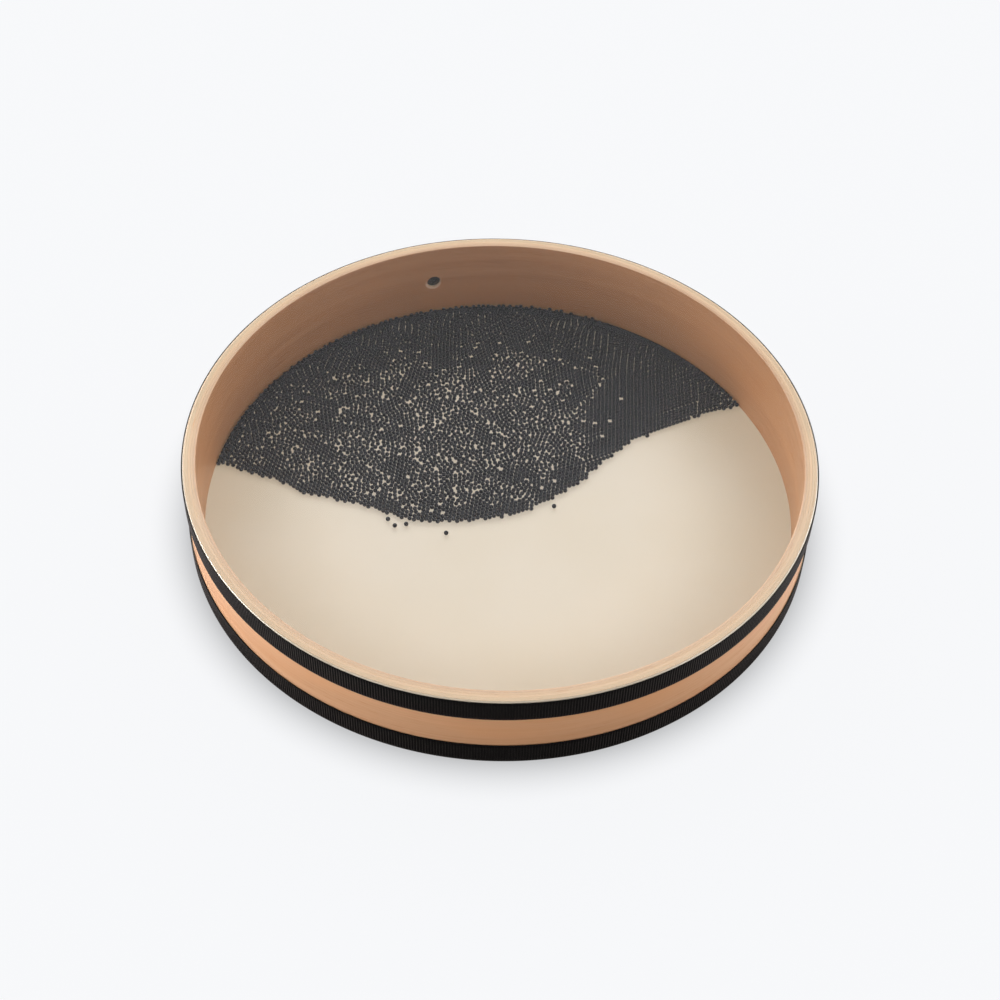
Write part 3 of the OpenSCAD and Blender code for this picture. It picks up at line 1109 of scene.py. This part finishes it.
def makeFloor():
    half, z = studio["floorHalf"], -studio["floorDrop"]
    mesh = bpy.data.meshes.new("floor")
    corners = [(-half, -half, z), (half, -half, z), (half, half, z), (-half, half, z)]
    mesh.from_pydata(corners, [], [(0, 1, 2, 3)])
    floor = bpy.data.objects.new("floor", mesh)
    bpy.context.scene.collection.objects.link(floor)
    material, tree, shader = newMaterial("floorPaper", Roughness=0.9, Specular_IOR_Level=0.0)
    shader.inputs["Emission Color"].default_value = studio["floorColour"]
    # The paper glows, with a painted contact shadow that dims it at the drum's foot, and less towards the
    # drum than towards the camera
    depth, reach = studio["footShade"]
    place = useGroup(tree, drumCoordinates)
    near = addNode(tree, "ShaderNodeMapRange", {
        0: place["Radius"], 1: hoopRadius, 2: hoopRadius + reach, 3: 1.0, 4: 0.0})
    foot = minus(tree, 1.0, times(tree, calc(tree, "POWER", near.outputs[0], 2.0), depth))
    seen = addNode(tree, "ShaderNodeLightPath").outputs["Is Camera Ray"]
    aside = calc(tree, "ABSOLUTE", place["X"])
    cards = fade(tree, aside, *studio["sides"], studio["glowOnDrum"], studio["glowAtSides"])
    glow = addNode(tree, "ShaderNodeMapRange", {0: seen, 3: cards, 4: studio["glowSeen"]}).outputs[0]
    setInput(tree, times(tree, glow, foot), shader.inputs["Emission Strength"])
    paperSeen = (studio["paperSeen"],) * 3 + (1.0,)
    setInput(tree, mixColour(tree, seen, studio["floorPaper"], paperSeen), shader.inputs["Base Color"])
    # Seen from below the floor is clear, so that the underside can be looked at
    clear = tree.nodes.new("ShaderNodeBsdfTransparent")
    below = addNode(tree, "ShaderNodeNewGeometry").outputs["Backfacing"]
    either = addNode(tree, "ShaderNodeMixShader", {0: below, 1: shader.outputs[0], 2: clear.outputs[0]})
    tree.links.new(either.outputs[0], tree.nodes["Material Output"].inputs["Surface"])
    mesh.materials.append(material)


def makeLights():
    world = bpy.data.worlds.new("softStudio")
    world.use_nodes = True
    tree = world.node_tree
    direction = addNode(tree, "ShaderNodeTexCoord").outputs["Generated"]
    total = 0.0
    for towards, tightness, strength in studio["lights"]:
        axis = Vector(towards).normalized()
        dot = addNode(tree, "ShaderNodeVectorMath", {0: direction, 1: axis}, operation="DOT_PRODUCT")
        lobe = calc(tree, "POWER", calc(tree, "MAXIMUM", dot.outputs["Value"], 0.0), float(tightness))
        total = plus(tree, total, times(tree, lobe, strength))
    setInput(tree, total, tree.nodes["Background"].inputs["Strength"])
    tree.nodes["Background"].inputs["Color"].default_value = (1, 1, 1, 1)
    bpy.context.scene.world = world


# Camera where the photograph was taken from, fitted to the drum's edges
cameraView = {
    "elevation": 48.379,
    "distance": 1.15034,
    "yaw": -0.0303,
    "pitch": 0.1414,
    "roll": -1.8032,
    "sensor": 36.0,
    "lens": 62.2425,
}


def makeCamera():
    rise = math.radians(cameraView["elevation"])
    turn = Matrix.Rotation(math.pi / 2 - rise, 4, "X")
    turn = turn @ Matrix.Rotation(math.radians(cameraView["yaw"]), 4, "Y")
    turn = turn @ Matrix.Rotation(math.radians(cameraView["pitch"]), 4, "X")
    turn = turn @ Matrix.Rotation(-math.radians(cameraView["roll"]), 4, "Z")
    place = Vector((0, -math.cos(rise), math.sin(rise))) * cameraView["distance"]
    camera = bpy.data.objects.new("camera", bpy.data.cameras.new("camera"))
    camera.data.sensor_width, camera.data.lens = cameraView["sensor"], cameraView["lens"]
    camera.matrix_world = Matrix.Translation(place) @ turn
    bpy.context.scene.collection.objects.link(camera)
    bpy.context.scene.camera = camera


makeFloor()
makeLights()
makeCamera()
bpy.context.scene.view_settings.view_transform = "Standard"
print("studio ready")
